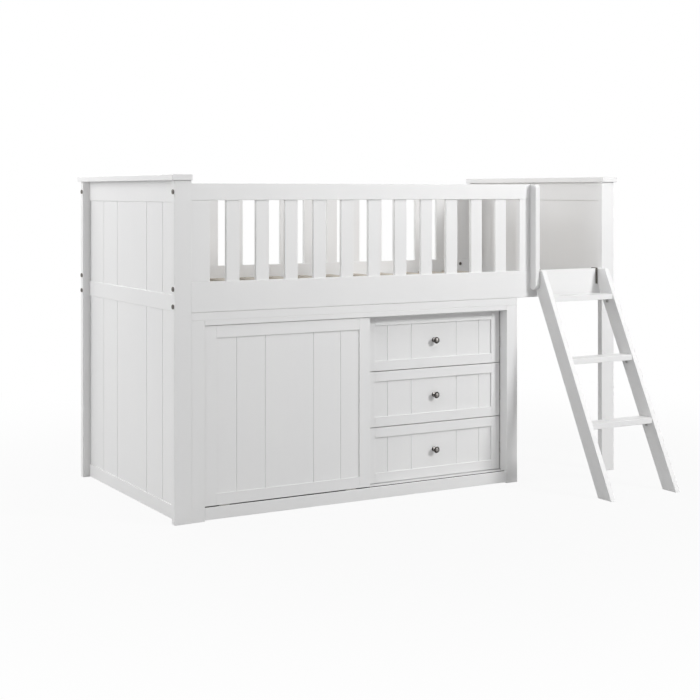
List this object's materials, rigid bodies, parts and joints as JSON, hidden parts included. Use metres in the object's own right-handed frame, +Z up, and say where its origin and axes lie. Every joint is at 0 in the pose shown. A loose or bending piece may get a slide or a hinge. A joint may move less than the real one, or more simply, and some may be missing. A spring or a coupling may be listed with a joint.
{
  "type": "low loft bed",
  "caption": "White low loft bed with slatted guards, a hook-on ladder, and a cabinet below with a sliding panelled door beside a stack of drawers with round knobs.",
  "frame": {"origin": "on the floor, under the centre of the box that holds the bed and its ladder", "axes": "+X along the bed towards the ladder end, +Y from the front to the back, +Z up"},
  "size_m": [2.024, 1.4741, 1.238],
  "materials": {
    "white_paint": "satin white lacquer",
    "bare_pine": "planed, unpainted",
    "drawer_birch": "clear lacquer",
    "knob_metal": "dark antique nickel",
    "bolt_steel": "blackened zinc",
    "hook_steel": "dark zinc",
    "bracket_zinc": "bright zinc",
    "glide_nylon": "natural nylon",
    "track_plastic": "dark brown extruded plastic"
  },
  "bodies": {
    "frame": {"left_front_post": "white_paint", "left_rear_post": "white_paint", "left_cap": "white_paint", "left_top_rail": "white_paint", "left_middle_rail": "white_paint", "left_bottom_rail": "white_paint", "left_upper_panel": "white_paint", "left_lower_panel": "white_paint", "right_front_post": "white_paint", "right_rear_post": "white_paint", "right_cap": "white_paint", "right_top_rail": "white_paint", "right_lower_rail": "white_paint", "right_panel": "white_paint", "front_side_rail": "white_paint", "front_guard_rail": "white_paint", "front_guard_slats": "white_paint", "front_guard_stiles": "white_paint", "grip_board": "white_paint", "rear_side_rail": "white_paint", "rear_guard_rail": "white_paint", "rear_guard_slats": "white_paint", "rear_guard_stiles": "white_paint", "slat_ledgers": "white_paint", "cabinet_left_side": "white_paint", "cabinet_right_side": "white_paint", "cabinet_divider": "white_paint", "cabinet_top": "white_paint", "cabinet_bottom": "white_paint", "cabinet_back": "white_paint", "cabinet_shelf": "white_paint", "cabinet_stiles": "white_paint", "cabinet_top_rail": "white_paint", "cabinet_bottom_rail": "white_paint", "bed_slats": "bare_pine", "cap_dowels": "bare_pine", "drawer_runners": "bare_pine", "bed_bolts": "bolt_steel", "barrel_nuts": "bolt_steel", "door_track": "track_plastic"},
    "sliding_door": {"door_frame": "white_paint", "door_panel": "white_paint", "door_glides": "glide_nylon"},
    "top_drawer": {"top_drawer_front": "white_paint", "top_drawer_panel": "white_paint", "top_drawer_box": "drawer_birch", "top_drawer_knob": "knob_metal"},
    "middle_drawer": {"middle_drawer_front": "white_paint", "middle_drawer_panel": "white_paint", "middle_drawer_box": "drawer_birch", "middle_drawer_knob": "knob_metal"},
    "bottom_drawer": {"bottom_drawer_front": "white_paint", "bottom_drawer_panel": "white_paint", "bottom_drawer_box": "drawer_birch", "bottom_drawer_knob": "knob_metal"},
    "ladder": {"ladder_left_stringer": "white_paint", "ladder_right_stringer": "white_paint", "ladder_steps": "white_paint", "ladder_hooks": "hook_steel", "ladder_brackets": "bracket_zinc"}
  },
  "joints": [
    {"name": "door_slide", "type": "slide", "parent": "frame", "child": "sliding_door", "axis": [-1, 0, 0], "range_m": [-0.637, 0]},
    {"name": "top_drawer_slide", "type": "slide", "parent": "frame", "child": "top_drawer", "axis": [0, -1, 0], "range_m": [0, 0.33]},
    {"name": "middle_drawer_slide", "type": "slide", "parent": "frame", "child": "middle_drawer", "axis": [0, -1, 0], "range_m": [0, 0.33]},
    {"name": "bottom_drawer_slide", "type": "slide", "parent": "frame", "child": "bottom_drawer", "axis": [0, -1, 0], "range_m": [0, 0.33]},
    {"name": "ladder_lift", "type": "slide", "parent": "frame", "child": "ladder", "axis": [0, 0, 1], "range_m": [0, 0.05]}
  ]
}
